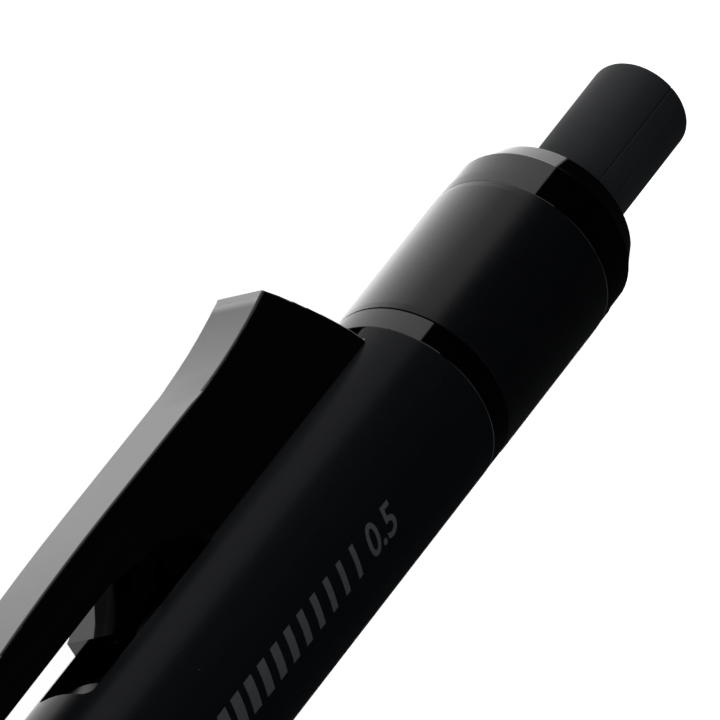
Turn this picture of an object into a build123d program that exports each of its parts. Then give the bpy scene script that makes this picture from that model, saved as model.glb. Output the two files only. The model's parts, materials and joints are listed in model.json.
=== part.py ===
from build123d import *

import math
import os

# A shaker mechanical pencil with a sliding side clip and a wind-out eraser.
# Everything is drawn in millimetres on the pencil's own axis: +X runs from the tip to the tail,
# +Z points at the clip. The finished pencil is then rolled onto the surface that it lies on.

# ---------------------------------------------------------------- driving dimensions
# Whole pencil
overall_length = 148.0  # end of the lead pipe to the end of the wound-in eraser
barrel_diameter = 12.3
barrel_wall = 1.0

# Fits
running_gap = 0.05  # radial, between pieces that slide or turn on each other
seat_gap = 0.02  # radial, between pieces that are pushed or screwed together
end_gap = 0.1  # along the axis, where a travel ends

# Lead and tip
lead_diameter = 0.5
lead_length = 60.0
lead_showing = 0.5
pipe_diameter = 1.1
pipe_showing = 3.2
pipe_seated = 3.3
cone_length = 10.6
cone_nose_radius = 1.2
cone_back_radius = 4.35
cone_spigot_length = 5.0
retainer_length = 1.9
retainer_radius = 1.55

# Grip
grip_length = 29.0
grip_back_drop = 0.4  # the grip's back end below the barrel's surface
grip_bore_radius = 3.9
grip_knee = 0.28  # share of the grip's length where its taper eases
grip_knee_rise = 0.45  # share of its rise reached there
grip_spigot_length = 5.5
grip_ring_count = 14
grip_ring_pitch = 1.6
grip_ring_depth = 0.16
grip_ring_half_width = 0.2
taper_length = 18.0  # from the back of the grip to the full barrel diameter

# Chuck
chuck_length = 19.0
chuck_head_radius = 1.75
chuck_head_length = 1.3
chuck_shank_radius = 1.15
chuck_slit = 0.22
chuck_slit_length = 9.5
chuck_ring_length = 3.0
chuck_ring_radius = 2.4
chuck_ring_wall = 0.95
lead_step = 0.5  # lead fed by one click, the travel of the chuck ring
sleeve_wall_thickness = 1.0  # the wall in the inner sleeve that the chuck spring stands on
coupler_length = 11.0
coupler_radius = 2.0
spring_wire = 0.3
chuck_spring_length = 12.0
chuck_spring_turns = 6

# Lead tube and shaker weight
tube_radius = 2.4
tube_wall = 0.4
collar_radius = 3.1
collar_length = 2.4
weight_room = 0.95  # between the weight and the bore
weight_length = 15.0
weight_travel = 11.0
weight_stop_length = 3.0
weight_stop_room = 0.55
buffer_length = 2.4
rear_stop_length = 2.0

# Clip drive
unlock_travel = 2.2  # the clip's two click positions
knock_travel = 1.8  # the stroke that advances the lead
carriage_wall = 0.7
carriage_flange = 1.2
clip_spring_wire = 0.4
clip_spring_turns = 5
stop_lug_length = 1.0
stop_lug_height = 0.35

# Clip
clip_width = 4.0
clip_length = 46.6
clip_setback = 1.2  # back end of the clip's base to the barrel's rim
clip_crest_rise = 7.05  # highest corner above the barrel's surface, as are the other rises
clip_crest_slope = 4.85  # how far the back face leans
clip_arm_rise = 6.05  # outer face of the arm
clip_gap_rise = 2.92  # inner face of the arm
clip_arm_start = 3.1  # the inner face is level from here, in front of the yoke's top
clip_base_length = 19.3
clip_ramp_length = 3.4
clip_ramp_rise = 2.16
clip_flare_length = 9.8
clip_nose_rise = 4.95
clip_straight_end = 24.9  # from the clip's back end to where the arm starts to bend down
clip_edge = 0.25
clip_rib_half_width = 0.95
touch_bump_length = 5.6  # from the clip's nose

# Yoke between the clip and the slider inside
yoke_setback = 0.15  # yoke's side to the clip's side
yoke_ridge_rise = 0.71
yoke_top_length = 2.1  # level top, then the front face falls to the ridge
yoke_top_rise = 0.14  # over that length
yoke_face_length = 5.0
yoke_tab_half_width = 1.2  # the tab holds the yoke in a pocket of the clip
tab_front_margin = 0.3
tab_back_margin = 0.2
tab_top_rise = 3.45
ramp_share = 0.34  # the yoke starts this far down the clip's ramp
front_leg_length = 1.6
rear_leg_length = 2.1
rear_leg_overlap = 0.6  # of the rear leg under the yoke's top
leg_reach = 0.9  # from the legs' ends to the lead tube
slider_front_margin = 0.4
slider_back_margin = 0.6

# Slot in the barrel
slot_side_gap = 0.27  # yoke to slot
slot_back_margin = 0.2
slot_front_gap = 0.35  # left in front of the yoke at the end of its stroke
slot_corner = 0.6
narrow_slot_half_width = 1.1
rim_corner = 0.4

# Tail
ring_width = 1.86
groove_width = 0.12
sleeve_length = 12.71
cap_length = 4.62
cap_step_at = 0.95
cap_step_depth = 0.05
cap_drop = 0.02  # the cap's collar below the barrel's surface
cap_chamfer_length = 1.75
cap_end_drop = 0.86  # the end face's rim below the barrel's surface
cap_end_wall = 1.45
eraser_diameter = 6.5
eraser_length = 25.0
eraser_wound_in = 0.5  # eraser left showing when wound in
eraser_showing = 11.6  # eraser showing at rest
eraser_out_travel = 6.8
eraser_round = 0.35
cup_wall = 0.35
cup_depth = 5.0
cup_floor = 1.0
lug_radius = 0.5
lug_gap = 0.08
spiral_pitch = 24.0  # eraser travel in one full turn of the sleeve
guide_wall = 0.4
spiral_wall = 0.52
plug_length = 12.0
o_ring_wire = 0.5

# Broken edges and allowances shared by several pieces
cut_over = 1.0  # how far a cutter runs past the faces that it goes through
end_land = 0.3  # length of the broken edge at a turned end
fine_edge = 0.03  # broken edge of the tail's rings and cap
cone_nose_round = 0.25
cone_knee = 0.55  # share of the cone's length
cone_knee_rise = 0.62  # share of its growth reached there
cone_back_land = 1.2
joint_drop = 0.12  # shallow groove where two turned pieces meet
joint_groove = 0.2
chuck_seat_depth = 0.03  # the collet's head bulges into its ring
chuck_wall_gap = 0.2
coupler_seat_share = 0.45  # of the coupler is outside the lead tube
coupler_bore_radius = 0.6
sleeve_clearance = 0.3  # inner sleeve to lead tube at the end of the stroke
grip_front_step = 0.1
tube_end_gap = 2.0
spare_gap = 1.0
spare_play = 0.2
weight_edge = 0.3
buffer_drop = 0.4
buffer_bore_gap = 0.3

# Stop lugs of the carriage
carriage_back_gap = 1.0
lug_from_end = 3.0
lug_width = 1.8
finger_slit = 0.5
finger_slit_at = 1.3
finger_slit_front = 5.0
finger_slit_run = 3.0
carriage_end_drop = 0.1

# Outlines of the clip's free end and of the yoke, as (run, rise above the barrel)
touch_bump_back_drop = 0.1
touch_bump_low_run = 3.0
touch_bump_heel = (4.75, 1.05)
touch_bump_toe = (1.35, 0.85)
nose_low = (0.4, 1.9)  # back from the tip, down from the nose's top
nose_top_run = 0.7
nose_half_drop = 0.8
nose_rim_run = 0.9
arm_rim_margin = 0.2
clip_slide_gap = 0.08  # clip base to barrel
clip_back_bulge = 0.18
clip_base_sink = 0.3
rib_margin = 0.8
rib_overlap = 0.6
tab_pocket_rise = 1.85
tab_foot_rise = 1.6
yoke_notch = ((0.0, -0.4), (1.0, 0.35), (3.2, 0.45), (3.8, 1.25))  # behind the front leg
yoke_rear_rise = 1.4
yoke_heel_sink = 0.1

# Tail details
ring_drop = 0.01
spigot_wall = 0.62
spigot_length = 3.0
cap_hole_gap = 0.14
cap_hole_edge = 0.12
cap_shoulder_run = 0.06
cap_draft = 0.02
lug_from_cup = 1.2
lug_end_drop = 0.03  # lugs stop just short of the spiral tube's outside
plug_overlap = 1.0  # of the plug behind the barrel's rim
plug_flange = 1.2
o_ring_share = 0.45  # of the plug's length, from its front
o_ring_groove_gap = 0.05
o_ring_groove_depth = 0.28
o_ring_round = 0.1
guide_end_gap = 0.5
spiral_end_gap = 0.2
spiral_run_out = 0.3

# Round faces that other things slide onto
relief_length = 0.5  # soft run-in at each end of the turning sleeve
relief_depth = 0.02
clip_zone_drop = 0.01  # the barrel under the clip is this much smaller than the plain part
clip_zone_run = 0.6

# ---------------------------------------------------------------- worked-out stations
barrel_radius = barrel_diameter / 2
bore_radius = barrel_radius - barrel_wall
grip_back_radius = barrel_radius - grip_back_drop
cap_end_radius = barrel_radius - cap_end_drop
weight_radius = bore_radius - weight_room
weight_stop_radius = bore_radius - weight_stop_room
clip_crest_height = barrel_radius + clip_crest_rise
clip_arm_height = barrel_radius + clip_arm_rise
clip_arm_inner = barrel_radius + clip_gap_rise
clip_ramp_height = barrel_radius + clip_ramp_rise
clip_nose_height = barrel_radius + clip_nose_rise
yoke_half_width = clip_width / 2 - yoke_setback
yoke_ridge_height = barrel_radius + yoke_ridge_rise
yoke_top_height = clip_ramp_height + yoke_top_rise
tab_top_height = barrel_radius + tab_top_rise
leg_bottom_radius = tube_radius + leg_reach
slot_half_width = yoke_half_width + slot_side_gap
lead_radius = lead_diameter / 2
eraser_radius = eraser_diameter / 2

cap_end_x = overall_length - eraser_wound_in
cap_x = cap_end_x - cap_length
groove_x = cap_x - sleeve_length
rim_x = groove_x - ring_width

cone_x = pipe_showing
grip_x = cone_x + cone_length
barrel_x = grip_x + grip_length

clip_back_x = rim_x - clip_setback
ramp_x = clip_back_x - clip_base_length  # the base lifts off the barrel here
ramp_end_x = ramp_x - clip_ramp_length
yoke_top_x = ramp_end_x - yoke_top_length
ridge_x = yoke_top_x - yoke_face_length
rear_leg_front = ramp_end_x - rear_leg_overlap
rear_leg_x = (rear_leg_front, rear_leg_front + rear_leg_length)
front_leg_x = (ridge_x, ridge_x + front_leg_length)

slider_x = (ridge_x - slider_front_margin, rear_leg_x[1] + slider_back_margin)
clip_travel = unlock_travel + knock_travel
slot_x = ridge_x - clip_travel - slot_front_gap
slot_back_x = ramp_x + slot_back_margin

eraser_in_travel = eraser_showing - eraser_wound_in

parts = {}
stations = {}  # places along the axis that the record of mounts and joints quotes


# ---------------------------------------------------------------- helpers
def rod(x0, x1, radius):
    """Round bar on the pencil's axis."""
    return Pos((x0 + x1) / 2, 0, 0) * Rot(0, 90, 0) * Cylinder(radius, x1 - x0)


def tube(x0, x1, outer, inner):
    return rod(x0, x1, outer) - rod(x0, x1, inner)


def turned(*points):
    """Body turned about the axis from its (x, radius) outline."""
    return revolve(make_face(Polyline(*points, close=True)), Axis.X)


def block(x0, x1, half_width, z0, z1):
    return Pos((x0 + x1) / 2, 0, (z0 + z1) / 2) * Box(x1 - x0, 2 * half_width, z1 - z0)


def side_plate(outline, half_width):
    """Plate with an (x, height) outline, as thick as the clip is wide."""
    return extrude(Plane.XZ * outline, amount=half_width, both=True)


def coil(x0, x1, mean_radius, wire, turns):
    """Open compression spring."""
    wire_radius = wire / 2
    height = x1 - x0 - wire
    path = Helix(pitch=height / turns, height=height, radius=mean_radius)
    section = Plane(path @ 0, z_dir=path % 0) * Circle(wire_radius)
    return Pos(x0 + wire_radius, 0, 0) * Rot(0, 90, 0) * sweep(section, path)


# ---------------------------------------------------------------- tip and grip
def make_tip():
    pipe_radius = pipe_diameter / 2
    pipe_bore = lead_radius + running_gap
    pipe_end = cone_x + pipe_seated
    parts["lead_pipe"] = tube(0, pipe_end, pipe_radius, pipe_bore)

    # The rubber retainer sits behind the pipe and grips the lead between clicks.
    retainer_x = pipe_end + end_gap
    retainer_end = retainer_x + retainer_length
    parts["lead_retainer"] = tube(retainer_x, retainer_end, retainer_radius, lead_radius + 0.01)

    # Stations of the chuck, which need room ahead of them for one full stroke.
    chuck_x = retainer_end + knock_travel + 2 * end_gap
    ring_x = chuck_x + chuck_head_length
    ring_end = ring_x + chuck_ring_length
    shoulder_x = ring_x - lead_step - end_gap

    spigot_radius = grip_bore_radius - seat_gap
    spigot_end = grip_x + cone_spigot_length
    growth = cone_back_radius - cone_nose_radius
    shell = turned(
        (cone_x, 0),
        (cone_x, cone_nose_radius - cone_nose_round),
        (cone_x + cone_nose_round, cone_nose_radius),
        (cone_x + cone_knee * cone_length, cone_nose_radius + cone_knee_rise * growth),
        (grip_x - cone_back_land, cone_back_radius - joint_drop),
        (grip_x - end_land, cone_back_radius),
        (grip_x, cone_back_radius - joint_groove),
        (grip_x, spigot_radius),
        (spigot_end, spigot_radius),
        (spigot_end, 0),
    )
    shell -= rod(cone_x - cut_over, pipe_end, pipe_radius + seat_gap)
    shell -= rod(pipe_end, retainer_end, retainer_radius + seat_gap)
    shell -= rod(retainer_end, shoulder_x, chuck_head_radius + 0.25)
    shell -= rod(shoulder_x, spigot_end, chuck_ring_radius + running_gap)
    parts["front_cone"] = shell
    make_chuck(chuck_x, ring_x, ring_end)
    make_grip(spigot_end)


def make_chuck(chuck_x, ring_x, ring_end):
    # Brass collet: a flared head with three slits, then a plain shank.
    chuck_end = chuck_x + chuck_length
    ring_bore = chuck_ring_radius - chuck_ring_wall
    body = turned(
        (chuck_x, 0),
        (chuck_x, chuck_head_radius - end_land),
        (chuck_x + end_land, chuck_head_radius),
        (ring_x, ring_bore - chuck_seat_depth),
        (ring_x, chuck_shank_radius),
        (chuck_end, chuck_shank_radius),
        (chuck_end, 0),
    )
    body -= rod(chuck_x - cut_over, chuck_end + cut_over, lead_radius + running_gap)
    slit_end = chuck_x + chuck_slit_length
    for turn in range(3):
        cutter = block(chuck_x - cut_over, slit_end, chuck_slit / 2, 0, chuck_head_radius + cut_over)
        body -= Rot(120 * turn, 0, 0) * cutter
    parts["chuck"] = body
    parts["chuck_ring"] = tube(ring_x, ring_end, chuck_ring_radius, ring_bore)

    # Spring and coupler behind it, in the bore of the inner sleeve.
    wall_x = ring_end + end_gap + chuck_wall_gap
    spring_x = wall_x + sleeve_wall_thickness
    spring_end = spring_x + chuck_spring_length
    stations["chuck_seat"] = spring_x
    coil_radius = (coupler_radius + chuck_shank_radius) / 2
    parts["chuck_spring"] = coil(spring_x, spring_end, coil_radius, spring_wire, chuck_spring_turns)

    coupler_end = spring_end + coupler_length
    tube_front = spring_end + coupler_seat_share * coupler_length
    spigot_radius = tube_radius - tube_wall - seat_gap
    coupler = rod(spring_end, tube_front, coupler_radius) + rod(tube_front, coupler_end, spigot_radius)
    coupler -= rod(spring_end - cut_over, chuck_end, chuck_shank_radius + seat_gap)
    coupler -= rod(chuck_end, coupler_end + cut_over, coupler_bore_radius)
    parts["chuck_coupler"] = coupler

    # The sleeve is short enough to clear the lead tube at the end of the stroke.
    sleeve_end = tube_front - knock_travel - end_gap - sleeve_clearance
    sleeve_front_radius = chuck_ring_radius - running_gap
    sleeve = turned(
        (wall_x, 0),
        (wall_x, sleeve_front_radius),
        (grip_x + cone_spigot_length + end_gap, sleeve_front_radius),
        (grip_x + cone_spigot_length + end_gap, grip_bore_radius - seat_gap),
        (sleeve_end, grip_bore_radius - seat_gap),
        (sleeve_end, 0),
    )
    sleeve -= rod(wall_x - cut_over, sleeve_end, chuck_shank_radius + 2 * running_gap)
    sleeve -= rod(spring_x, sleeve_end, coupler_radius + running_gap)
    parts["inner_sleeve"] = sleeve
    make_lead_tube(tube_front, coupler_end)


def make_grip(cone_spigot_end):
    # Tapered grip with shallow rings, screwed into the barrel at its back end.
    spigot_end = barrel_x + grip_spigot_length
    front_radius = cone_back_radius + grip_front_step
    rise = grip_back_radius - front_radius
    shell = turned(
        (grip_x, 0),
        (grip_x, front_radius - joint_groove),
        (grip_x + end_land, front_radius),
        (grip_x + grip_knee * grip_length, front_radius + grip_knee_rise * rise),
        (barrel_x - end_land, grip_back_radius),
        (barrel_x, grip_back_radius - joint_drop),
        (barrel_x, bore_radius - seat_gap),
        (spigot_end, bore_radius - seat_gap),
        (spigot_end, 0),
    )
    shell -= rod(grip_x - cut_over, spigot_end + cut_over, grip_bore_radius)
    first_ring = grip_x + grip_knee * grip_length - 3 * grip_ring_pitch
    for number in range(grip_ring_count):
        ring_x = first_ring + number * grip_ring_pitch
        share = (ring_x - grip_x) / grip_length
        if share < grip_knee:
            surface = front_radius + grip_knee_rise * rise * share / grip_knee
        else:
            beyond = (share - grip_knee) / (1 - grip_knee)
            surface = front_radius + rise * (grip_knee_rise + (1 - grip_knee_rise) * beyond)
        ring = tube(
            ring_x - grip_ring_half_width,
            ring_x + grip_ring_half_width,
            grip_back_radius + cut_over,
            surface - grip_ring_depth,
        )
        shell -= ring
    parts["front_barrel"] = shell


# ---------------------------------------------------------------- lead, tube and weight
def make_lead_tube(tube_front, coupler_end):
    tube_inner = tube_radius - tube_wall
    tube_end = plug_x - tube_end_gap
    parts["lead_tube"] = tube(tube_front, tube_end, tube_radius, tube_inner)
    parts["lead"] = rod(-lead_showing, lead_length - lead_showing, lead_radius)

    # Three spare leads lie round the one in use.
    spare_x = coupler_end + spare_gap
    spread = tube_inner - lead_diameter - spare_play
    spare = Pos(0, 0, spread) * rod(spare_x, spare_x + lead_length, lead_radius)
    parts["spare_leads"] = Rot(60, 0, 0) * spare + Rot(180, 0, 0) * spare + Rot(300, 0, 0) * spare

    # The weight strikes the stop that is fixed on the tube.
    stop_x = barrel_x + grip_spigot_length + knock_travel + 3 * end_gap
    weight_x = stop_x + weight_stop_length + end_gap
    weight_end = weight_x + weight_length
    inner = tube_radius + 2 * running_gap
    parts["weight_stop"] = tube(stop_x, stop_x + weight_stop_length, weight_stop_radius, tube_radius + seat_gap)
    weight = tube(weight_x, weight_end, weight_radius, inner)
    parts["shaker_weight"] = chamfer(weight.edges().filter_by(GeomType.CIRCLE), weight_edge)
    buffer_x = weight_end + weight_travel + end_gap
    buffer_end = buffer_x + buffer_length
    parts["weight_buffer"] = tube(buffer_x, buffer_end, weight_radius - buffer_drop, inner + buffer_bore_gap)
    stop_end = buffer_end + rear_stop_length
    parts["weight_rear_stop"] = tube(buffer_end, stop_end, bore_radius - seat_gap, inner + buffer_bore_gap)
    make_clip_drive(stop_end)


# ---------------------------------------------------------------- clip drive
def make_clip_drive(rear_stop_end):
    # A carriage with two click positions slides in the bore, and the knock slider runs inside it.
    carriage_x = rear_stop_end + unlock_travel + 2 * end_gap
    carriage_end = plug_x - carriage_back_gap
    carriage_radius = bore_radius - running_gap
    slider_radius = carriage_radius - carriage_wall - running_gap
    passage = tube_radius + 4 * running_gap
    carriage = tube(carriage_x, carriage_end, carriage_radius, carriage_radius - carriage_wall)
    carriage += tube(carriage_x, carriage_x + carriage_flange, carriage_radius - carriage_end_drop, passage)
    back_stop_x = slider_x[1] + end_gap
    carriage += tube(back_stop_x, back_stop_x + carriage_flange, carriage_radius - carriage_end_drop, passage)
    window_front = front_leg_x[0] - knock_travel - 2 * end_gap
    window = block(window_front, back_stop_x, slot_half_width, 0, barrel_radius)
    carriage -= window

    # Two lugs on spring fingers run in a recess of the bore and end the carriage's travel.
    lug_x = carriage_end - lug_from_end
    lug_end = lug_x + stop_lug_length
    lug_ring = tube(lug_x, lug_end, carriage_radius + stop_lug_height, carriage_radius - carriage_wall / 2)
    finger = Box(4 * overall_length, 4 * barrel_radius, lug_width)
    carriage += lug_ring & finger
    for side in (-1, 1):
        slit_middle = Pos(lug_x + (finger_slit_run - finger_slit_front) / 2, 0, side * finger_slit_at)
        slit = slit_middle * Box(finger_slit_front + finger_slit_run, 4 * barrel_radius, finger_slit)
        wall_inner = carriage_radius - carriage_wall - carriage_end_drop
        carriage -= slit & tube(lug_x - finger_slit_front, carriage_end + cut_over, barrel_radius, wall_inner)
    parts["lock_carriage"] = carriage

    # Knock slider with two pockets for the yoke's legs.
    slider = tube(slider_x[0], slider_x[1], slider_radius, passage)
    for leg in (front_leg_x, rear_leg_x):
        pocket_floor = leg_bottom_radius - seat_gap
        slider -= block(leg[0] - seat_gap, leg[1] + seat_gap, yoke_half_width + seat_gap, pocket_floor, barrel_radius)
    parts["knock_slider"] = slider

    spring_x = carriage_x + carriage_flange
    stations["clip_seat"] = spring_x
    coil_radius = (collar_radius + slider_radius) / 2 + 0.05
    parts["clip_spring"] = coil(spring_x, slider_x[0], coil_radius, clip_spring_wire, clip_spring_turns)

    # The collar on the lead tube waits one click ahead of the slider's front face.
    collar_end = slider_x[0] - unlock_travel - end_gap
    parts["tube_collar"] = tube(collar_end - collar_length, collar_end, collar_radius, tube_radius + seat_gap)
    make_barrel(lug_x, lug_end)


def make_barrel(lug_x, lug_end):
    recess = (lug_x - unlock_travel - end_gap, lug_end + end_gap)
    full_x = barrel_x + taper_length
    clip_zone_x = clip_back_x - clip_length
    clip_zone_radius = barrel_radius - clip_zone_drop
    stations["plain"] = (full_x, clip_zone_x - clip_zone_run)
    shell = turned(
        (barrel_x, 0),
        (barrel_x, grip_back_radius - joint_drop),
        (barrel_x + end_land, grip_back_radius),
        (full_x, barrel_radius),
        (clip_zone_x - clip_zone_run, barrel_radius),
        (clip_zone_x, clip_zone_radius),
        (rim_x - fine_edge, clip_zone_radius),
        (rim_x, clip_zone_radius - fine_edge),
        (rim_x, 0),
    )
    shell -= rod(barrel_x - cut_over, rim_x + cut_over, bore_radius)
    shell -= rod(recess[0], recess[1], bore_radius + stop_lug_height)

    wide = Pos((slot_x + slot_back_x) / 2, 0) * RectangleRounded(
        slot_back_x - slot_x, 2 * slot_half_width, slot_corner
    )
    narrow = Pos((slot_back_x - cut_over + rim_x) / 2, 0) * Rectangle(
        rim_x - slot_back_x + cut_over, 2 * narrow_slot_half_width
    )
    mouth_half_width = narrow_slot_half_width + rim_corner
    mouth = Pos(rim_x - rim_corner / 2, 0) * Rectangle(rim_corner, 2 * mouth_half_width)
    for side in (-1, 1):
        mouth -= Pos(rim_x - rim_corner, side * mouth_half_width) * Circle(rim_corner)
    slot = extrude(wide + narrow + mouth, amount=2 * barrel_radius)
    parts["barrel"] = shell - slot


# ---------------------------------------------------------------- clip and yoke
def make_clip():
    # Side outline: back face, base on the barrel, ramp, arm underside, touch bump, nose, outer face.
    crest = (clip_back_x - clip_crest_slope, clip_crest_height)
    base_back = (clip_back_x, barrel_radius - clip_base_sink)
    back_bulge = (clip_back_x - clip_crest_slope / 2 + clip_back_bulge, barrel_radius + clip_crest_rise / 2)
    base_front = (ramp_x, barrel_radius - clip_base_sink)
    base_lift = (ramp_x, barrel_radius + running_gap)
    ramp_end = (ramp_end_x, clip_ramp_height)
    yoke_top = (yoke_top_x, yoke_top_height)
    arm_start = (yoke_top_x - clip_arm_start, clip_arm_inner)
    nose_x = clip_back_x - clip_length
    bump_back = (nose_x + touch_bump_length, clip_arm_inner - touch_bump_back_drop)
    bump_low = (nose_x + touch_bump_low_run, barrel_radius + 2 * running_gap)
    bump_heel = (nose_x + touch_bump_heel[0], barrel_radius + touch_bump_heel[1])
    bump_toe = (nose_x + touch_bump_toe[0], barrel_radius + touch_bump_toe[1])
    tip_low = (nose_x + nose_low[0], clip_nose_height - nose_low[1])
    tip_top = (nose_x + nose_top_run, clip_nose_height)
    tip_mid = (nose_x, clip_nose_height - nose_half_drop)
    droop = (clip_back_x - clip_straight_end, clip_arm_height)
    flare = (crest[0] - clip_flare_length, clip_arm_height)
    outline = [
        ThreePointArc(crest, back_bulge, base_back),
        Polyline(base_back, base_front, base_lift, ramp_end, yoke_top, arm_start, bump_back),
        ThreePointArc(bump_back, bump_heel, bump_low),
        ThreePointArc(bump_low, bump_toe, tip_low),
        ThreePointArc(tip_low, tip_mid, tip_top),
        TangentArc(droop, tip_top, tangent=(-1, 0)),
        Line(droop, flare),
        TangentArc(flare, crest, tangent=(1, 0)),
    ]
    plate = side_plate(make_face(outline), clip_width / 2)
    side = clip_width / 2
    rims = [
        edge
        for edge in plate.edges()
        if abs(abs(edge.center().Y) - side) < 0.01
        and (edge.center().Z > clip_arm_inner + arm_rim_margin or edge.center().X < nose_x + nose_rim_run)
    ]
    clip = fillet(rims, clip_edge)
    clip -= rod(ramp_end_x - 2 * cut_over, rim_x + 2 * cut_over, barrel_radius + clip_slide_gap)

    # A rib on the base runs in the narrow part of the slot.
    rib_low, rib_high = bore_radius + running_gap, barrel_radius + rib_overlap
    rib = block(ramp_x + rib_margin, clip_back_x - rib_margin, clip_rib_half_width, rib_low, rib_high)
    clip += rib
    pocket = block(
        yoke_top_x + tab_front_margin,
        ramp_end_x - tab_back_margin,
        yoke_tab_half_width + seat_gap,
        barrel_radius + tab_pocket_rise,
        tab_top_height + seat_gap,
    )
    parts["clip"] = clip - pocket


def make_yoke():
    # Two legs under the arm carry the stroke through the slot to the slider inside.
    ramp_rise = clip_ramp_height - barrel_radius - running_gap
    rear_top = (ramp_x - ramp_share * clip_ramp_length, barrel_radius + running_gap + ramp_share * ramp_rise)
    outline = Polyline(
        rear_top,
        (ramp_end_x, clip_ramp_height),
        (yoke_top_x, yoke_top_height),
        (ridge_x, yoke_ridge_height),
        (ridge_x, leg_bottom_radius),
        (front_leg_x[1], leg_bottom_radius),
        *((front_leg_x[1] + run, barrel_radius + rise) for run, rise in yoke_notch),
        (rear_leg_x[0], barrel_radius + yoke_rear_rise),
        (rear_leg_x[0], leg_bottom_radius),
        (rear_leg_x[1], leg_bottom_radius),
        (rear_leg_x[1], barrel_radius - yoke_heel_sink),
        close=True,
    )
    yoke = side_plate(make_face(outline), yoke_half_width)
    tab = block(
        yoke_top_x + tab_front_margin + seat_gap,
        ramp_end_x - tab_back_margin - seat_gap,
        yoke_tab_half_width,
        barrel_radius + tab_foot_rise,
        tab_top_height,
    )
    parts["clip_yoke"] = yoke + tab


# ---------------------------------------------------------------- tail
cup_radius = eraser_radius + seat_gap + cup_wall
guide_inner = cup_radius + running_gap
guide_outer = guide_inner + guide_wall
spiral_inner = guide_outer + running_gap
spiral_outer = spiral_inner + spiral_wall
eraser_end_x = cap_end_x + eraser_showing
eraser_x = eraser_end_x - eraser_length
cup_x = eraser_x - cup_floor
lug_centre_x = cup_x + lug_from_cup
plug_x = rim_x - plug_length + plug_overlap
lug_low_x = lug_centre_x - eraser_in_travel - lug_radius - end_gap
lug_high_x = lug_centre_x + eraser_out_travel + lug_radius + end_gap


def make_tail_shells():
    edge = fine_edge
    gap = groove_width / 2
    ring_inner = spiral_outer + running_gap
    ring_radius = barrel_radius - ring_drop
    parts["tail_ring"] = turned(
        (rim_x, ring_inner),
        (rim_x, ring_radius - edge),
        (rim_x + edge, ring_radius),
        (groove_x - gap - edge, ring_radius),
        (groove_x - gap, ring_radius - edge),
        (groove_x - gap, ring_inner),
    )
    sleeve_inner = spiral_outer + seat_gap
    spigot_radius = sleeve_inner + spigot_wall
    spigot_x = cap_x - spigot_length
    parts["turning_sleeve"] = turned(
        (groove_x + gap, sleeve_inner),
        (groove_x + gap, barrel_radius - edge),
        (groove_x + gap + edge, barrel_radius - relief_depth),
        (groove_x + gap + relief_length, barrel_radius),
        (cap_x - relief_length, barrel_radius),
        (cap_x - edge, barrel_radius - relief_depth),
        (cap_x, barrel_radius - edge),
        (cap_x, spigot_radius + seat_gap),
        (spigot_x, spigot_radius + seat_gap),
        (spigot_x, sleeve_inner),
    )
    collar_radius_out = barrel_radius - cap_drop
    step_radius = collar_radius_out - cap_step_depth
    shoulder_x = cap_end_x - cap_chamfer_length
    cavity_end = cap_end_x - cap_end_wall
    hole_radius = eraser_radius + cap_hole_gap
    parts["tail_cap"] = turned(
        (spigot_x, sleeve_inner),
        (spigot_x, spigot_radius),
        (cap_x, spigot_radius),
        (cap_x, collar_radius_out - edge),
        (cap_x + edge, collar_radius_out),
        (cap_x + cap_step_at, collar_radius_out),
        (cap_x + cap_step_at, step_radius),
        (shoulder_x, step_radius - cap_draft),
        (shoulder_x + cap_shoulder_run, step_radius - cap_shoulder_run),
        (cap_end_x - edge, cap_end_radius + cap_draft),
        (cap_end_x, cap_end_radius - edge),
        (cap_end_x, hole_radius + cap_hole_edge),
        (cap_end_x - cap_hole_edge, hole_radius),
        (cavity_end, hole_radius),
        (cavity_end, sleeve_inner),
    )


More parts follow.
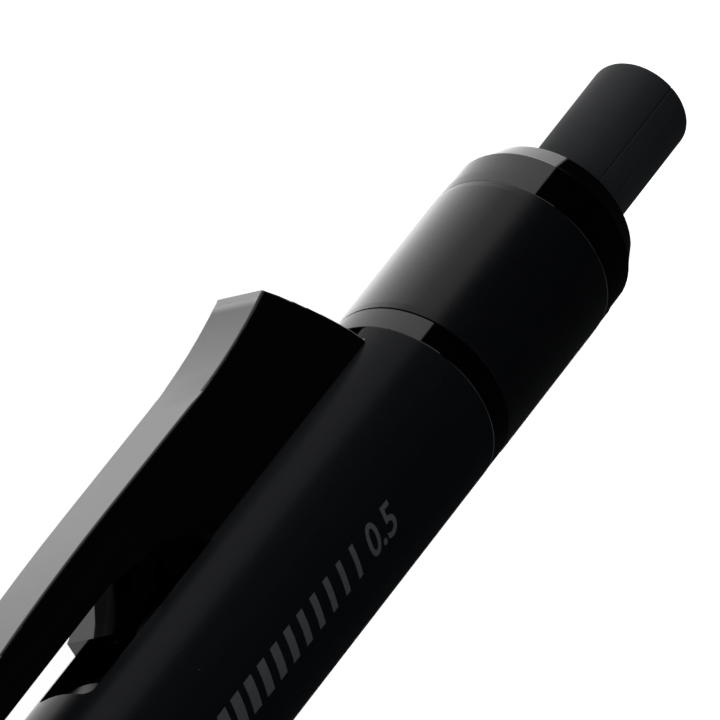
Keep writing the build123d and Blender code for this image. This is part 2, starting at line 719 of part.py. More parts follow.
def make_plug():
    # The plug is pushed into the barrel: a housing, the guide tube's flange and an O-ring.
    housing_radius = bore_radius - seat_gap
    housing_inner = spiral_outer + running_gap
    flange_end = plug_x + plug_flange
    seat_x = plug_x + o_ring_share * plug_length
    groove_half = o_ring_wire / 2 + o_ring_groove_gap
    groove_floor = housing_radius - o_ring_groove_depth
    housing = tube(flange_end, rim_x, housing_radius, housing_inner)
    housing -= tube(seat_x - groove_half, seat_x + groove_half, bore_radius, groove_floor)
    parts["plug_housing"] = housing
    band = tube(seat_x - o_ring_wire / 2, seat_x + o_ring_wire / 2, bore_radius - ring_drop, groove_floor + ring_drop)
    parts["plug_o_ring"] = fillet(band.edges().filter_by(GeomType.CIRCLE), o_ring_round)

    guide_end = cap_end_x - cap_end_wall - guide_end_gap
    guide = tube(plug_x, guide_end, guide_outer, guide_inner)
    guide += tube(plug_x, flange_end, housing_radius, tube_radius)
    slot_half = lug_radius + lug_gap
    centre = (lug_low_x + lug_high_x) / 2
    guide -= Pos(centre, 0, 0) * Box(lug_high_x - lug_low_x, 3 * barrel_radius, 2 * slot_half)
    parts["eraser_guide_tube"] = guide

    # Two spiral slots, left-handed, so that turning the sleeve clockwise winds the eraser out.
    spiral_x = flange_end + end_gap
    spiral_end = guide_end - spiral_end_gap
    shell = tube(spiral_x, spiral_end, spiral_outer, spiral_inner)
    slot_start = lug_low_x - spiral_run_out
    slot_length = lug_high_x - lug_low_x + 2 * spiral_run_out
    middle = (spiral_inner + spiral_outer) / 2
    lead_angle = math.atan2(spiral_pitch, 2 * math.pi * middle)
    tangential = 2 * (lug_radius + lug_gap) / math.sin(lead_angle)
    twist = -360 * slot_length / spiral_pitch
    for side in (0, 180):
        start_angle = side + twist * (slot_start - lug_centre_x) / slot_length
        section = Pos(middle, 0) * Rectangle(spiral_wall + 2 * running_gap, tangential)
        cutter = Solid.extrude_linear_with_rotation(
            section.face().outer_wire(), (0, 0, 0), (0, 0, slot_length), twist
        )
        upright = Rot(start_angle + 90, 0, 0) * Rot(0, 90, 0) * cutter
        shell -= Pos(slot_start, 0, 0) * upright
    parts["spiral_tube"] = shell


def make_eraser():
    eraser = rod(eraser_x, eraser_end_x, eraser_radius)
    parts["eraser"] = fillet(eraser.edges().sort_by(Axis.X)[-1], eraser_round)
    cup = rod(cup_x, eraser_x + cup_depth, cup_radius)
    cup -= rod(eraser_x, eraser_end_x, eraser_radius + seat_gap)
    for side in (-1, 1):
        reach = (spiral_outer - cup_radius) / 2 + cup_wall / 2
        place = Pos(lug_centre_x, side * (spiral_outer - lug_end_drop - reach), 0)
        cup += place * Rot(90, 0, 0) * Cylinder(lug_radius, 2 * reach)
    cup -= rod(eraser_x, eraser_end_x, eraser_radius + seat_gap)
    parts["eraser_cup"] = cup


make_tip()
make_clip()
make_yoke()
make_tail_shells()
make_plug()
make_eraser()

# ---------------------------------------------------------------- how it lies
# It lies on the barrel's side and on one edge of the clip's crest, so the roll follows from both.
crest_y = clip_width / 2 - clip_edge
crest_z = clip_crest_height - clip_edge
reach = math.hypot(crest_y, crest_z)
clip_from_down = math.acos((barrel_radius - clip_edge) / reach) + math.atan2(crest_y, crest_z)
roll = 180 + math.degrees(clip_from_down)
rolled = {name: Rot(roll, 0, 0) * shape for name, shape in parts.items()}
boxes = [shape.bounding_box() for shape in rolled.values()]
low = [min(tuple(box.min)[axis] for box in boxes) for axis in range(3)]
high = [max(tuple(box.max)[axis] for box in boxes) for axis in range(3)]
shift = Pos(-(low[0] + high[0]) / 2, -(low[1] + high[1]) / 2, -low[2])

os.makedirs("parts", exist_ok=True)
for name, shape in rolled.items():
    export_step(shift * shape, f"parts/{name}.step")

print("size", tuple(round(top - bottom, 3) for bottom, top in zip(low, high)))
print("axis at", tuple(round(value, 4) for value in shift.position), "roll", round(roll, 3))
print("groove", round(groove_x, 3), "rim", round(rim_x, 3), "ridge", round(ridge_x, 3), "slot", round(slot_x, 3))
print("eraser in", round(eraser_in_travel, 3), "out", eraser_out_travel, "knock", knock_travel)
print("chuck_seat", round(stations["chuck_seat"], 3), "clip_seat", round(stations["clip_seat"], 3))
print("plain", *(round(value, 3) for value in stations["plain"]))
print("sleeve", round(groove_x + groove_width / 2 + relief_length, 3), round(cap_x - relief_length, 3))
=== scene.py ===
import json
import math

import bmesh
import bpy
from mathutils import Matrix, Vector


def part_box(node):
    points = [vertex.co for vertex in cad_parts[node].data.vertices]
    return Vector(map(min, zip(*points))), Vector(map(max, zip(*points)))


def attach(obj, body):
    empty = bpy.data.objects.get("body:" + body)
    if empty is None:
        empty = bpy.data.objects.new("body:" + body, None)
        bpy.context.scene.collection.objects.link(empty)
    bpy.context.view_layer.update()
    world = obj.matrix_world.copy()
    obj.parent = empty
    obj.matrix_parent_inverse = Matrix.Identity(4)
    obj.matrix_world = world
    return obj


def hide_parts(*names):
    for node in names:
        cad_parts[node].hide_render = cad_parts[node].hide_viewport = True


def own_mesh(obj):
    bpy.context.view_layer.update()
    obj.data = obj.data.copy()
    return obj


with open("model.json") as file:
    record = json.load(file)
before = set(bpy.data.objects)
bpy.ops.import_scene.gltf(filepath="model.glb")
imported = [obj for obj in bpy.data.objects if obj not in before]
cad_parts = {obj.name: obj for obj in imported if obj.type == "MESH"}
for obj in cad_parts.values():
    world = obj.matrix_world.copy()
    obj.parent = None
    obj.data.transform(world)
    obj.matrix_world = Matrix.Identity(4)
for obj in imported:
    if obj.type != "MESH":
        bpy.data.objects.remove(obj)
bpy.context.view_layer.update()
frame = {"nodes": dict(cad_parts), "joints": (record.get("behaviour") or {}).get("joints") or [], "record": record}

MM = 0.001

# ---------------------------------------------------------------- where the pencil is
joints = {joint["name"]: joint for joint in frame["joints"]}
mounts = {mount["name"]: mount for mount in frame["record"]["mounts"]}
AXIS = Vector((1, 0, 0))  # tip to tail
groove = Vector(joints["eraser_turn"]["pos_m"])  # parting groove, on the pencil's axis
to_gap = Vector(mounts["clip_gap"]["pos_m"]) - groove
CLIP_SIDE = (to_gap - to_gap.dot(AXIS) * AXIS).normalized()
FRONT_SIDE = AXIS.cross(CLIP_SIDE)  # the side that the camera looks at
barrel_radius = mounts["tail_sleeve_grip"]["dims"]["r_mm"] * MM


def place(along, radius, turn):
    """Point on a round face: along from the groove towards the tail, turn in radians from the clip
    towards the camera's side."""
    outward = math.cos(turn) * CLIP_SIDE + math.sin(turn) * FRONT_SIDE
    return groove + along * AXIS + radius * outward


# ---------------------------------------------------------------- camera
VIEW_LEAN = math.radians(40.458)  # the axis leans away from the picture plane
VIEW_TURN = math.radians(51.772)  # direction of the axis in the picture
CLIP_TURN = math.radians(28.0)  # roll of the pencil about its axis, as the camera sees it
CAMERA_DISTANCE = 0.9
CAMERA_LENS = 760.4  # this and the sensor's width are in millimetres
SENSOR_WIDTH = 36.0
SEEN_FROM, SEEN_TO = 0.05, 20.0  # nearest and furthest that the camera sees
GROOVE_RIGHT = 3.370 * MM  # the groove's middle, right of and below the picture's middle
GROOVE_UP = -1.832 * MM


def make_camera():
    across = Vector((math.cos(VIEW_TURN), math.sin(VIEW_TURN), 0))
    square = Vector((-math.sin(VIEW_TURN), math.cos(VIEW_TURN), 0))
    facing = math.sin(VIEW_LEAN) * across + math.cos(VIEW_LEAN) * Vector((0, 0, 1))
    axis = math.cos(VIEW_LEAN) * across - math.sin(VIEW_LEAN) * Vector((0, 0, 1))
    clip = math.cos(CLIP_TURN) * square + math.sin(CLIP_TURN) * facing
    front = -math.sin(CLIP_TURN) * square + math.cos(CLIP_TURN) * facing
    right, up, back = (
        axis[i] * AXIS + clip[i] * CLIP_SIDE + front[i] * FRONT_SIDE for i in range(3)
    )
    place_at = groove - GROOVE_RIGHT * right - GROOVE_UP * up + CAMERA_DISTANCE * back
    data = bpy.data.cameras.new("camera")
    data.lens = CAMERA_LENS
    data.sensor_width = SENSOR_WIDTH
    data.clip_start = SEEN_FROM
    data.clip_end = SEEN_TO
    camera = bpy.data.objects.new("camera", data)
    turned = Matrix((right, up, back)).transposed().to_4x4()
    camera.matrix_world = Matrix.Translation(place_at) @ turned
    bpy.context.scene.collection.objects.link(camera)
    bpy.context.scene.camera = camera


# ---------------------------------------------------------------- shared effects
# Scales are in cells per metre. Pairs are where a ramp begins and where it is full.
MIDDLE_OF_NOISE = (0.3, 0.7)
WAVES_PER_PIT = 0.06
WAVE_HEIGHT = 1.5  # in heights of the pits
LINE_UNEVENNESS = 0.7  # changes per turned line
EDGE_SAMPLES = 4
EDGE_COSINES = (0.75, 0.99)  # between the softened and the true face
WEAR_SCALE = 900.0
WEAR_PATCHES = (0.42, 0.62)
SPECK_SCALE = 1400.0
SPECK_SIZE = (0.03, 0.07)  # in cells
DUSTY_SCALE = 350.0
DUSTY_PATCHES = (0.6, 0.7)
STREAK_STRETCH = (0.06, 1.0, 1.0)  # long along the pencil


def new_effect(name, inputs, outputs):
    group = bpy.data.node_groups.new(name, "ShaderNodeTree")
    for label, value in inputs:
        socket = group.interface.new_socket(
            label, in_out="INPUT", socket_type="NodeSocketFloat"
        )
        socket.default_value = value
    for label in outputs:
        group.interface.new_socket(label, in_out="OUTPUT", socket_type="NodeSocketFloat")
    return group, group.nodes.new("NodeGroupInput"), group.nodes.new("NodeGroupOutput")


def feed(tree, socket, value):
    """Link another node's output to the socket, or set a constant on it."""
    if isinstance(value, bpy.types.NodeSocket):
        tree.links.new(value, socket)
    else:
        socket.default_value = value


def calculate(tree, operation, *values):
    node = tree.nodes.new("ShaderNodeMath")
    node.operation = operation
    for socket, value in zip(node.inputs, values):
        feed(tree, socket, value)
    return node.outputs[0]


def vector_math(tree, operation, *values):
    node = tree.nodes.new("ShaderNodeVectorMath")
    node.operation = operation
    for socket, value in zip(node.inputs, values):
        feed(tree, socket, value)
    return node


def object_point(tree):
    return tree.nodes.new("ShaderNodeTexCoord").outputs["Object"]


def noise(tree, scale, detail=2.0, roughness=0.5, vector=None):
    node = tree.nodes.new("ShaderNodeTexNoise")
    node.inputs["Detail"].default_value = detail
    node.inputs["Roughness"].default_value = roughness
    tree.links.new(vector or object_point(tree), node.inputs["Vector"])
    feed(tree, node.inputs["Scale"], scale)
    return node.outputs["Fac"]


def ramp(tree, value, low, high):
    """0 at low and 1 at high, held beyond them."""
    node = tree.nodes.new("ShaderNodeMapRange")
    node.inputs["From Min"].default_value = low
    node.inputs["From Max"].default_value = high
    tree.links.new(value, node.inputs["Value"])
    return node.outputs["Result"]


def moulded_grain():
    """Spark-eroded mould texture: fine pits over a soft waviness."""
    tree, given, result = new_effect(
        "moulded_grain", [("Per Metre", 8000.0)], ["Height", "Shade"]
    )
    pits = noise(tree, given.outputs["Per Metre"], detail=3.0, roughness=0.6)
    wide = calculate(tree, "MULTIPLY", given.outputs["Per Metre"], WAVES_PER_PIT)
    waves = noise(tree, wide, detail=1.0)
    height = calculate(tree, "MULTIPLY_ADD", waves, WAVE_HEIGHT, pits)
    tree.links.new(height, result.inputs["Height"])
    tree.links.new(ramp(tree, waves, *MIDDLE_OF_NOISE), result.inputs["Shade"])
    return tree


def turned_lines():
    """Fine lines round the pencil, uneven as a lathe tool leaves them."""
    tree, given, result = new_effect("turned_lines", [("Pitch", 0.2 * MM)], ["Height"])
    split = tree.nodes.new("ShaderNodeSeparateXYZ")
    tree.links.new(object_point(tree), split.inputs[0])
    turns = calculate(tree, "DIVIDE", split.outputs["X"], given.outputs["Pitch"])
    wave = calculate(tree, "SINE", calculate(tree, "MULTIPLY", turns, 2 * math.pi))
    row = tree.nodes.new("ShaderNodeCombineXYZ")
    tree.links.new(turns, row.inputs["X"])
    uneven = noise(tree, LINE_UNEVENNESS, roughness=0.6, vector=row.outputs[0])
    tree.links.new(calculate(tree, "MULTIPLY", wave, uneven), result.inputs["Height"])
    return tree


def handling_wear():
    """Where fingers and pockets polish: the edges, in patches."""
    tree, given, result = new_effect("handling_wear", [("Edge", 0.12 * MM)], ["Mask"])
    rounded = tree.nodes.new("ShaderNodeBevel")
    rounded.samples = EDGE_SAMPLES
    tree.links.new(given.outputs["Edge"], rounded.inputs["Radius"])
    shape = tree.nodes.new("ShaderNodeNewGeometry")
    agree = vector_math(tree, "DOT_PRODUCT", rounded.outputs[0], shape.outputs["Normal"])
    flat = ramp(tree, agree.outputs["Value"], *EDGE_COSINES)
    edge = calculate(tree, "SUBTRACT", 1.0, flat)
    patches = ramp(tree, noise(tree, WEAR_SCALE, detail=3.0, roughness=0.65), *WEAR_PATCHES)
    tree.links.new(calculate(tree, "MULTIPLY", edge, patches), result.inputs["Mask"])
    return tree


def settled_dust():
    """Sparse pale specks, in patches."""
    tree, given, result = new_effect("settled_dust", [("Amount", 0.5)], ["Mask"])
    cells = tree.nodes.new("ShaderNodeTexVoronoi")
    cells.inputs["Scale"].default_value = SPECK_SCALE
    tree.links.new(object_point(tree), cells.inputs["Vector"])
    clean = ramp(tree, cells.outputs["Distance"], *SPECK_SIZE)
    speck = calculate(tree, "SUBTRACT", 1.0, clean)
    few = ramp(tree, noise(tree, DUSTY_SCALE), *DUSTY_PATCHES)
    sparse = calculate(tree, "MULTIPLY", speck, few)
    mask = calculate(tree, "MULTIPLY", sparse, given.outputs["Amount"])
    tree.links.new(mask, result.inputs["Mask"])
    return tree


def moulding_flow():
    """Slow streaks along the pencil, as plastic or drawn metal shows."""
    tree, given, result = new_effect("moulding_flow", [("Per Metre", 1500.0)], ["Shade"])
    stretch = tree.nodes.new("ShaderNodeMapping")
    stretch.inputs["Scale"].default_value = STREAK_STRETCH
    tree.links.new(object_point(tree), stretch.inputs["Vector"])
    streaks = noise(
        tree, given.outputs["Per Metre"], detail=3.0, roughness=0.6, vector=stretch.outputs[0]
    )
    tree.links.new(ramp(tree, streaks, *MIDDLE_OF_NOISE), result.inputs["Shade"])
    return tree


EFFECTS = {
    "grain": moulded_grain(),
    "lines": turned_lines(),
    "wear": handling_wear(),
    "dust": settled_dust(),
    "flow": moulding_flow(),
}


def use_effect(tree, name, **values):
    node = tree.nodes.new("ShaderNodeGroup")
    node.node_tree = EFFECTS[name]
    for label, value in values.items():
        node.inputs[label.replace("_", " ")].default_value = value
    return node.outputs


def blend_colour(tree, mask, low, high):
    """The colour low where the mask is 0, and high where it is 1."""
    node = tree.nodes.new("ShaderNodeMix")
    node.data_type = "RGBA"
    tree.links.new(mask, node.inputs["Factor"])
    for label, colour in (("A", low), ("B", high)):
        socket = [s for s in node.inputs if s.name == label and s.type == "RGBA"][0]
        if isinstance(colour, tuple):
            socket.default_value = (*colour, 1)
        else:
            tree.links.new(colour, socket)
    return [s for s in node.outputs if s.type == "RGBA"][0]


SURFACE_IOR = 1.5
EDGE_GLOSS_ROUGH = 0.3
EDGE_GLOSS_SLANT = (0.35, 0.8)  # where the gloss of a slanting view begins and is full
RUBBED_GAIN, RUBBED_LIFT = 2.5, 0.004  # colour of rubbed plastic, from its own colour
RUBBED_SMOOTHER = -0.3  # share of the roughness
DUST_COLOUR = (0.25, 0.24, 0.23)
DUST_ROUGHER = 0.5
LEAST_ROUGHNESS = 0.03
MICROMETRE = 1e-6


def make_finish(
    name,
    colour,
    roughness,
    grain=8000.0,
    grain_depth=0.3,
    lines=None,
    line_depth=0.0,
    flow=1500.0,
    uneven=0.025,
    tint=1.15,
    wear=0.05,
    worn=None,
    dust=0.3,
    metallic=0.0,
    specular=0.5,
    edge_gloss=0.0,
    edge_gloss_ior=1.5,
    edge_gloss_direct=False,
):
    """One finish: colour and roughness vary with the flow of the material, edges are polished by
    handling, and grain and turning lines stand in the surface. Depths are in micrometres.
    Edge gloss is a coat that shows where the surface is seen at a slant; a direct one is seen by
    the camera only, not in other surfaces."""
    material = bpy.data.materials.new(name)
    material.use_nodes = True
    tree = material.node_tree
    shader = tree.nodes["Principled BSDF"]
    shader.inputs["Metallic"].default_value = metallic
    shader.inputs["IOR"].default_value = SURFACE_IOR
    shader.inputs["Specular IOR Level"].default_value = specular
    if edge_gloss:
        shader.inputs["Coat Roughness"].default_value = EDGE_GLOSS_ROUGH
        shader.inputs["Coat IOR"].default_value = edge_gloss_ior
        slant = tree.nodes.new("ShaderNodeLayerWeight").outputs["Facing"]
        coat = calculate(tree, "MULTIPLY", ramp(tree, slant, *EDGE_GLOSS_SLANT), edge_gloss)
        if edge_gloss_direct:
            direct = tree.nodes.new("ShaderNodeLightPath").outputs["Is Camera Ray"]
            coat = calculate(tree, "MULTIPLY", coat, direct)
        tree.links.new(coat, shader.inputs["Coat Weight"])
    texture = use_effect(tree, "grain", Per_Metre=grain)
    streaks = use_effect(tree, "flow", Per_Metre=flow)["Shade"]
    edges = use_effect(tree, "wear")["Mask"]
    specks = use_effect(tree, "dust", Amount=dust)["Mask"]

    streaked = tuple(min(1.0, channel * tint) for channel in colour)
    varied = blend_colour(tree, streaks, colour, streaked)
    rubbed = worn or tuple(min(1.0, channel * RUBBED_GAIN + RUBBED_LIFT) for channel in colour)
    rubbed_mask = calculate(tree, "MULTIPLY", edges, wear)
    edged = blend_colour(tree, rubbed_mask, varied, rubbed)
    dusted = blend_colour(tree, specks, edged, DUST_COLOUR)
    tree.links.new(dusted, shader.inputs["Base Color"])

    patchy = calculate(tree, "ADD", texture["Shade"], streaks)
    rough = calculate(tree, "MULTIPLY_ADD", patchy, uneven, roughness - uneven)
    polished = calculate(tree, "MULTIPLY_ADD", rubbed_mask, RUBBED_SMOOTHER * roughness, rough)
    dull = calculate(tree, "MULTIPLY_ADD", specks, DUST_ROUGHER, polished)
    held = calculate(tree, "MAXIMUM", dull, LEAST_ROUGHNESS)
    tree.links.new(held, shader.inputs["Roughness"])

    height = calculate(tree, "MULTIPLY", texture["Height"], grain_depth)
    if lines:
        turned = use_effect(tree, "lines", Pitch=lines)["Height"]
        height = calculate(tree, "MULTIPLY_ADD", turned, line_depth, height)
    bump = tree.nodes.new("ShaderNodeBump")
    bump.inputs["Strength"].default_value = 1.0
    bump.inputs["Distance"].default_value = MICROMETRE
    tree.links.new(height, bump.inputs["Height"])
    tree.links.new(bump.outputs[0], shader.inputs["Normal"])
    return material


# ---------------------------------------------------------------- finishes
FINISHES = {
    "satin_black": make_finish(
        "satin_barrel_black",
        (0.0046, 0.0051, 0.0062),
        0.27,
        grain=7000,
        specular=0.05,
        edge_gloss=0.2,
    ),
    "matte_black_sleeve": make_finish(
        "turned_sleeve_black",
        (0.003, 0.0033, 0.0042),
        0.29,
        grain=9000,
        grain_depth=0.4,
        lines=0.2 * MM,
        line_depth=1.6,
        specular=0.15,
        edge_gloss=1.0,
    ),
    "gloss_black": make_finish(
        "polished_black",
        (0.0003, 0.0003, 0.0003),
        0.05,
        grain_depth=0.02,
        uneven=0.01,
        wear=0.1,
        specular=0.36,
    ),
    "clip_black": make_finish(
        "clip_moulding_black",
        (0.0013, 0.0013, 0.0014),
        0.29,
        grain=7000,
        grain_depth=0.5,
        specular=0.2,
        edge_gloss=1.0,
        edge_gloss_ior=2.0,
        edge_gloss_direct=True,
    ),
    "grip_black": make_finish(
        "grip_black",
        (0.003, 0.003, 0.0032),
        0.46,
        grain=6000,
        grain_depth=0.9,
        lines=0.4 * MM,
        line_depth=1.0,
        specular=0.3,
    ),
    "eraser_black": make_finish(
        "eraser_black",
        (0.0138, 0.0145, 0.0158),
        0.6,
        grain=5000,
        grain_depth=1.4,
        uneven=0.04,
        tint=1.12,
        dust=0.4,
        specular=0.12,
    ),
    "inner_plastic": make_finish(
        "natural_plastic",
        (0.55, 0.54, 0.5),
        0.45,
        tint=1.08,
        worn=(0.6, 0.6, 0.57),
        grain_depth=0.6,
    ),
    "inner_black": make_finish(
        "inner_moulding_black",
        (0.003, 0.003, 0.0033),
        0.4,
        grain_depth=0.8,
        specular=0.25,
    ),
    "rubber_black": make_finish(
        "rubber_black", (0.01, 0.01, 0.01), 0.75, grain=5000, grain_depth=2.0
    ),
    "steel": make_finish(
        "drawn_steel",
        (0.6, 0.6, 0.61),
        0.24,
        metallic=1.0,
        tint=1.1,
        worn=(0.72, 0.72, 0.73),
        flow=6000.0,
        lines=0.05 * MM,
        line_depth=0.5,
        grain_depth=0.1,
        dust=0.1,
    ),
    "brass": make_finish(
        "turned_brass",
        (0.72, 0.5, 0.2),
        0.25,
        metallic=1.0,
        tint=1.1,
        worn=(0.82, 0.62, 0.3),
        lines=0.08 * MM,
        line_depth=0.8,
        grain_depth=0.1,
        dust=0.1,
    ),
    "graphite": make_finish(
        "polymer_lead",
        (0.03, 0.03, 0.033),
        0.35,
        metallic=0.3,
        flow=9000.0,
        grain_depth=0.8,
    ),
}
PRINT_INK = make_finish(
    "print_ink",
    (0.062, 0.065, 0.071),
    0.5,
    grain=16000,
    grain_depth=0.8,
    wear=0.0,
    dust=0.1,
    specular=0.2,
)


def finish_nodes():
    """Every carried-over node takes the finish of its material slot."""
    for part in frame["record"]["subparts"]:
        mesh = frame["nodes"][part["node"]].data
        mesh.materials.clear()
        mesh.materials.append(FINISHES[part["material_slot"]])


# ---------------------------------------------------------------- pieces
SAME_POINT = 0.001 * MM  # points nearer than this are joined


def merged_copy(node):
    """The carried-over node's surface as a bmesh, with its faces joined along their edges."""
    work = bmesh.new()
    work.from_mesh(frame["nodes"][node].data)
    bmesh.ops.remove_doubles(work, verts=work.verts[:], dist=SAME_POINT)
    return work


def new_piece(name, work, body, material):
    bmesh.ops.recalc_face_normals(work, faces=work.faces[:])
    mesh = bpy.data.meshes.new(name)
    work.to_mesh(mesh)
    work.free()
    mesh.materials.append(material)
    mesh.shade_smooth()
    piece = bpy.data.objects.new(name, mesh)
    bpy.context.scene.collection.objects.link(piece)
    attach(piece, body)
    return piece


PRINT_TURN = math.radians(94.6)  # middle line of the print, from the clip
PRINT_END = -12.8 * MM  # its tail end, from the groove
PRINT_PROUD = 0.006 * MM
LEAD_SIZE = "0.5"
FIGURE_HEIGHT = 1.9 * MM
FIGURE_SHARE = 0.7  # of the type's size
FIGURE_LEAN = 0.2
FIGURE_WEIGHT = 0.02  # added to the strokes, as a share of the height
FIGURE_STEPS = 6
FIGURE_GAP = 1.2 * MM  # from the figures to the first bar
BAR_STEP = 1.55 * MM
BAR_HEIGHT = 1.95 * MM
BAR_LEAN = 0.42 * MM
BAR_COUNT = 12
BAR_ROWS = 8
FIRST_BAR, BAR_GROWTH = 0.3, 0.035  # share of the step that is ink, and how it grows
BEND_STEP = 0.25 * MM  # the print is cut this often across its height, to lie round the barrel
BEND_CUTS = range(-3, 4)


def figures_flat(text, height, end):
    """Flat figures as a bmesh: they read towards +X and stop at end."""
    curve = bpy.data.curves.new("figures", "FONT")
    curve.body = text
    curve.size = height / FIGURE_SHARE
    curve.shear = FIGURE_LEAN
    curve.offset = FIGURE_WEIGHT * height
    curve.resolution_u = FIGURE_STEPS
    holder = bpy.data.objects.new("figures", curve)
    bpy.context.scene.collection.objects.link(holder)
    finished = holder.evaluated_get(bpy.context.evaluated_depsgraph_get())
    mesh = bpy.data.meshes.new_from_object(finished)
    work = bmesh.new()
    work.from_mesh(mesh)
    bpy.data.objects.remove(holder)
    bpy.data.meshes.remove(mesh)
    right = max(v.co.x for v in work.verts)
    middle = (max(v.co.y for v in work.verts) + min(v.co.y for v in work.verts)) / 2
    bmesh.ops.translate(work, verts=work.verts, vec=(end - right, -middle, 0))
    return work


def bar_flat(work, end, width):
    """One slanted bar whose tail side is at end."""
    made = bmesh.ops.create_grid(work, x_segments=2, y_segments=BAR_ROWS, size=0.5)["verts"]
    bmesh.ops.scale(work, verts=made, vec=(width, BAR_HEIGHT, 1))
    bmesh.ops.translate(work, verts=made, vec=(end - width / 2, 0, 0))
    lean = Matrix.Identity(4)
    lean[0][1] = BAR_LEAN / BAR_HEIGHT
    bmesh.ops.transform(work, matrix=lean, verts=made)


def make_print():
    """Lead size in figures and a run of slanted bars, printed along the barrel."""
    radius = barrel_radius + PRINT_PROUD
    work = figures_flat(LEAD_SIZE, FIGURE_HEIGHT, 0)
    bars_end = min(v.co.x for v in work.verts) - FIGURE_GAP
    for number in range(BAR_COUNT):
        inked = FIRST_BAR + BAR_GROWTH * number
        bar_flat(work, bars_end - number * BAR_STEP, BAR_STEP * inked)
    for cut in BEND_CUTS:
        bmesh.ops.bisect_plane(
            work,
            geom=work.verts[:] + work.edges[:] + work.faces[:],
            plane_co=(0, cut * BEND_STEP, 0),
            plane_no=(0, 1, 0),
        )
    for vert in work.verts:
        vert.co = place(PRINT_END + vert.co.x, radius, PRINT_TURN - vert.co.y / radius)
    new_piece("barrel_print", work, "barrel_body", PRINT_INK)


ERASER_SIDES = 384
ERASER_ROUNDING = 0.42 * MM
ERASER_ROUND_STEPS = 6
ERASER_SKIN = 0.8  # points further out than this share of the radius belong to the skin
SEAMS = ((math.radians(77), 0.08 * MM), (math.radians(101), 0.05 * MM))  # where, how deep
SEAM_REACH = 1.2 * math.pi / ERASER_SIDES  # takes in the nearest row of points, or two


def make_eraser():
    """Moulded eraser with a rounded working end and two faint mould seams along it."""
    low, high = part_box("eraser")
    length, radius = high.x - low.x, (high.z - low.z) / 2
    work = bmesh.new()
    bmesh.ops.create_cone(
        work, cap_ends=True, segments=ERASER_SIDES, radius1=radius, radius2=radius, depth=length
    )
    end_rim = [
        edge
        for edge in work.edges
        if all(vert.co.z > 0 for vert in edge.verts)
        and any(len(face.verts) > 4 for face in edge.link_faces)
    ]
    bmesh.ops.bevel(
        work,
        geom=end_rim,
        offset=ERASER_ROUNDING,
        affect="EDGES",
        segments=ERASER_ROUND_STEPS,
        profile=0.5,
        material=-1,
    )
    turn = Matrix((AXIS.cross(CLIP_SIDE), -CLIP_SIDE, AXIS)).transposed()
    for vert in work.verts:
        vert.co = turn @ vert.co
    centre = Vector(((low.x + high.x) / 2, groove.y, groove.z))
    for vert in work.verts:
        outward = vert.co - vert.co.x * AXIS
        if outward.length > ERASER_SKIN * radius:
            turned = math.atan2(outward.dot(FRONT_SIDE), outward.dot(CLIP_SIDE))
            for seam, depth in SEAMS:
                if abs(turned - seam) < SEAM_REACH:
                    vert.co -= outward.normalized() * depth
        vert.co += centre
    piece = new_piece(
        "eraser_moulding", work, "eraser_carrier", FINISHES["eraser_black"]
    )
    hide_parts("eraser")


CLIP_SHARP_ANGLE = math.radians(48)  # sharper edges than this stay sharp
CLIP_FACE_WEIGHT = 100  # the large faces keep their own direction


def make_clip():
    """The moulded clip, with the light running evenly round its rounded edges."""
    work = merged_copy("clip")
    piece = new_piece("clip_moulding", work, "clip_unit", FINISHES["clip_black"])
    piece.data.set_sharp_from_angle(angle=CLIP_SHARP_ANGLE)
    shading = piece.modifiers.new("even_edges", "WEIGHTED_NORMAL")
    shading.mode = "FACE_AREA"
    shading.weight = CLIP_FACE_WEIGHT
    shading.keep_sharp = True
    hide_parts("clip")


SPRINGS = (  # node, the body that its front end stands on, the joint that closes it
    ("clip_spring", "lock_carriage", "clip_knock_slide"),
    ("chuck_spring", "barrel_body", "advance_slide"),
)


def make_springs():
    """Each coil, copied from its node, rides the body that its front end stands on, with a mesh of its own."""
    for node, body, joint in SPRINGS:
        piece = new_piece(
            node + "_coil", merged_copy(node), body, FINISHES["steel"]
        )
        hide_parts(node)
        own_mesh(piece)


# ---------------------------------------------------------------- floor and light
FLOOR_REACH = 6.0
FLOOR_DROP = 0.02 * MM
FLOOR_PAINT = 0.8
FLOOR_GLOW = 0.97


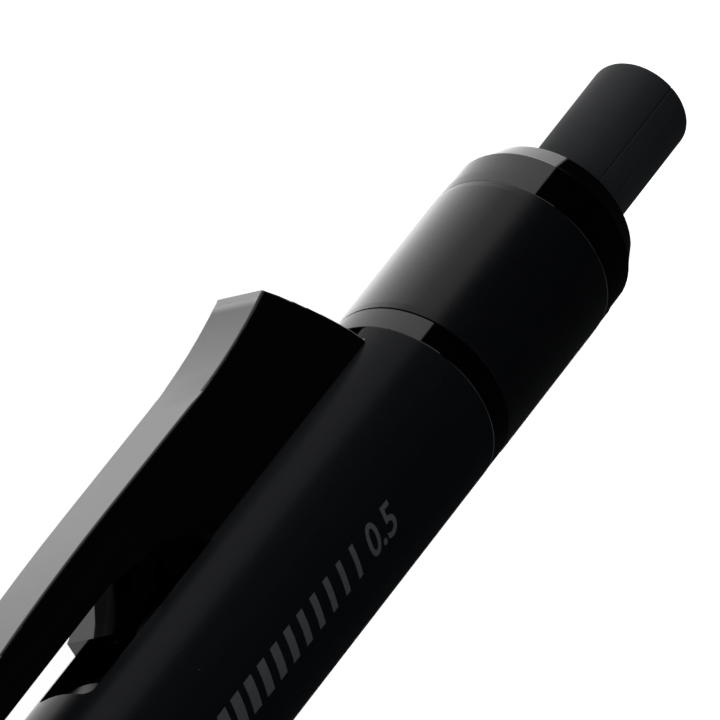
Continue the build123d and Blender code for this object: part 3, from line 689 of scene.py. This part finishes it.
def make_floor():
    """Plain white floor. The studio's soft light from below stands in for it in the gloss."""
    work = bmesh.new()
    bmesh.ops.create_grid(work, x_segments=1, y_segments=1, size=FLOOR_REACH)
    mesh = bpy.data.meshes.new("floor")
    work.to_mesh(mesh)
    work.free()
    floor = bpy.data.objects.new("floor", mesh)
    floor.location.z = -FLOOR_DROP
    floor.visible_glossy = False
    material = bpy.data.materials.new("pale_floor")
    material.use_nodes = True
    shader = material.node_tree.nodes["Principled BSDF"]
    shader.inputs["Base Color"].default_value = (FLOOR_PAINT, FLOOR_PAINT, FLOOR_PAINT, 1)
    shader.inputs["Roughness"].default_value = 0.9
    shader.inputs["Specular IOR Level"].default_value = 0.0
    shader.inputs["Emission Color"].default_value = (1, 1, 1, 1)
    shader.inputs["Emission Strength"].default_value = FLOOR_GLOW
    mesh.materials.append(material)
    bpy.context.scene.collection.objects.link(floor)


# Soft lights by direction: name, where from, how strong, the cosines where it begins and is full,
# and its colour.
LIGHTS = (
    ("bounce below", (-0.213, 0.358, -0.909), 1.5, -0.012, 0.012, (1.0, 1.0, 1.0)),
    ("overhead", (-0.4, 0.15, 0.9), 0.8, 0.8, 0.96, (0.9, 0.96, 1.0)),
    ("rear fill", (-0.45, -0.85, 0.25), 0.9, 0.7, 0.9, (0.95, 0.98, 1.0)),
)
SKY_DARK = 0.008


def make_sky():
    """The studio as the pencil's gloss sees it; the camera itself sees only white."""
    world = bpy.data.worlds.new("studio")
    world.use_nodes = True
    tree = world.node_tree
    tree.nodes.clear()
    direction = tree.nodes.new("ShaderNodeTexCoord").outputs["Generated"]
    total = None
    for label, towards, strength, begins, full, colour in LIGHTS:
        facing = vector_math(tree, "DOT_PRODUCT", direction, Vector(towards).normalized())
        facing.label = label
        share = ramp(tree, facing.outputs["Value"], begins, full)
        tinted = vector_math(tree, "SCALE", [channel * strength for channel in colour])
        tree.links.new(share, tinted.inputs["Scale"])
        light = tinted.outputs[0]
        if total is None:
            total = light
        else:
            total = vector_math(tree, "ADD", total, light).outputs[0]
    lifted = vector_math(tree, "ADD", total, (SKY_DARK,) * 3)
    seen = tree.nodes.new("ShaderNodeLightPath").outputs["Is Camera Ray"]
    sky = blend_colour(tree, seen, lifted.outputs[0], (1.0, 1.0, 1.0))
    back = tree.nodes.new("ShaderNodeBackground")
    tree.links.new(sky, back.inputs["Color"])
    output = tree.nodes.new("ShaderNodeOutputWorld")
    tree.links.new(back.outputs[0], output.inputs[0])
    bpy.context.scene.world = world


make_camera()
make_floor()
make_sky()
finish_nodes()
make_print()
make_eraser()
make_clip()
make_springs()
bpy.context.scene.view_settings.view_transform = "Standard"
